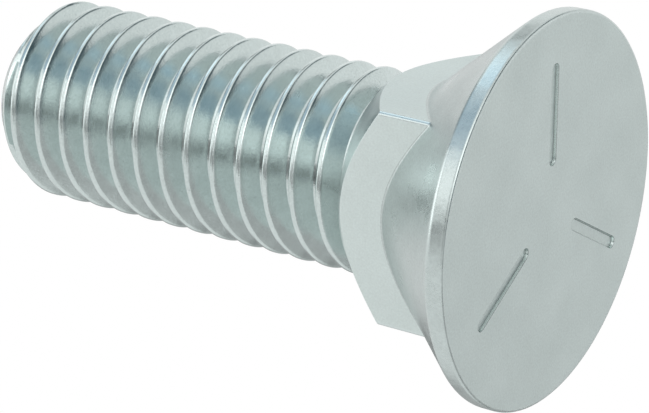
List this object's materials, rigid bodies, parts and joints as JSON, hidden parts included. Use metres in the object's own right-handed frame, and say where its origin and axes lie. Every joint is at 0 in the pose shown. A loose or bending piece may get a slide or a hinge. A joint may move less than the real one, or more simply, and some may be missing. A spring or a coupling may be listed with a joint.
{
  "type": "plow bolt",
  "caption": "Bolt with a flat cone-seated round head, a short square neck and a coarse right-hand thread.",
  "frame": {"origin": "centre of the head's flat face, which the bolt stands on", "axes": "+Z along the shank towards the tip; X and Y square to the neck's flats; one grade line along -X"},
  "size_m": [0.0242, 0.0242, 0.0381],
  "materials": {
    "zinc_steel": "satin bright zinc plate"
  },
  "bodies": {
    "root": {"plow_bolt": "zinc_steel"}
  },
  "joints": []
}
